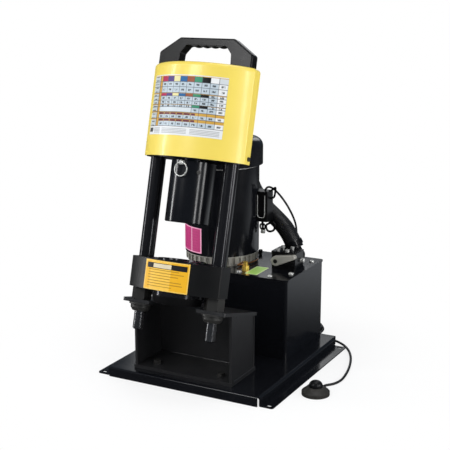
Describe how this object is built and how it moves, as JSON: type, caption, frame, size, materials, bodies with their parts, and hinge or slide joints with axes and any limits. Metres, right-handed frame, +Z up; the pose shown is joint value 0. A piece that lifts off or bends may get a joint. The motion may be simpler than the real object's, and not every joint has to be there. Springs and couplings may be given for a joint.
{
  "type": "hose crimping machine",
  "caption": "Two-rod hydraulic press for crimping hose ends, leaning back on a bench stand, with its electric pump unit, pressure hose, valve lever and foot switch on one tray.",
  "frame": {"origin": "centre of the four mounting slots, on the surface that the tray stands on", "axes": "+Z up, -Y towards the operator, where the press leans forward over its die bowl, +X to the operator's right"},
  "size_m": [0.55, 0.6274, 0.7976],
  "materials": {
    "yellow_paint": "gloss",
    "black_paint": "gloss",
    "black_satin": "satin",
    "plated_steel": "bright plated",
    "blackened_steel": "oil blackened",
    "ground_steel": "ground",
    "cast_alloy": "as cast",
    "brass": "machined",
    "hose_rubber": "smooth",
    "cord_rubber": "matte",
    "seal_rubber": "smooth",
    "black_plastic": "moulded",
    "grey_plastic": "moulded",
    "winding_steel": "laminated"
  },
  "bodies": {
    "machine": {"base_tray": "black_paint", "bench_stand": "black_paint", "stand_bolts": "plated_steel", "die_block": "black_satin", "die_bowl": "blackened_steel", "tie_rod_left": "blackened_steel", "tie_rod_right": "blackened_steel", "rod_nuts_lower": "blackened_steel", "rod_nuts_upper": "blackened_steel", "flange_nuts": "blackened_steel", "cylinder_head": "black_satin", "ram_wiper": "seal_rubber", "cylinder_barrel": "black_satin", "cylinder_cap": "black_satin", "top_bar": "black_satin", "front_cover": "yellow_paint", "cover_screws": "blackened_steel", "carry_handle": "black_plastic", "handle_screws": "blackened_steel", "reservoir_tank": "black_paint", "tank_bolts": "plated_steel", "lid_gasket": "seal_rubber", "reservoir_lid": "black_paint", "lid_screws": "plated_steel", "filler_cap": "black_plastic", "motor_adapter": "cast_alloy", "motor_frame": "black_satin", "motor_bearings": "ground_steel", "motor_stator": "winding_steel", "motor_trim": "plated_steel", "fan_cover": "black_satin", "pump_body": "cast_alloy", "suction_strainer": "ground_steel", "valve_block": "black_satin", "valve_plate": "black_satin", "valve_screws": "plated_steel", "hose_fittings": "blackened_steel", "pressure_hose": "hose_rubber", "control_box": "black_plastic", "control_box_lid": "black_plastic", "control_cable": "cord_rubber", "brass_fitting": "brass", "cord_gland": "black_plastic", "foot_cord_lead": "cord_rubber", "foot_cord_coil": "cord_rubber", "foot_cord": "cord_rubber", "foot_switch_base": "grey_plastic"},
    "ram_unit": {"ram": "ground_steel", "piston_seal": "seal_rubber", "pusher": "blackened_steel", "pusher_set_screw": "ground_steel"},
    "pin": {"retaining_pin": "plated_steel"},
    "ring": {"pull_ring": "plated_steel"},
    "rotor": {"motor_rotor": "ground_steel", "motor_fan": "black_plastic", "pump_coupling": "ground_steel"},
    "lever": {"valve_lever": "cast_alloy", "valve_spindle": "blackened_steel"},
    "pedal": {"foot_switch_dome": "black_plastic"}
  },
  "joints": [
    {"name": "press_stroke", "type": "slide", "parent": "machine", "child": "ram_unit", "axis": [0, -0.2588, -0.9659], "range_m": [0, 0.08]},
    {"name": "pin_pull", "type": "slide", "parent": "ram_unit", "child": "pin", "axis": [0, -0.9659, 0.2588], "range_m": [0, 0.04]},
    {"name": "ring_swing", "type": "hinge", "parent": "pin", "child": "ring", "pos_m": [-0.0115, -0.18983, 0.53093], "axis": [1, 0, 0], "range_deg": [-80, 7]},
    {"name": "motor_spin", "type": "hinge", "parent": "machine", "child": "rotor", "pos_m": [-0.0815, 0.1325, 0.34], "axis": [0, 0, 1], "continuous": true},
    {"name": "lever_swing", "type": "hinge", "parent": "machine", "child": "lever", "pos_m": [0.0915, 0.0995, 0.247], "axis": [0, 1, 0], "range_deg": [-35, 35]},
    {"name": "pedal_press", "type": "slide", "parent": "machine", "child": "pedal", "axis": [0, 0, -1], "range_m": [0, 0.003], "stiffness_N_per_m": 2000}
  ]
}
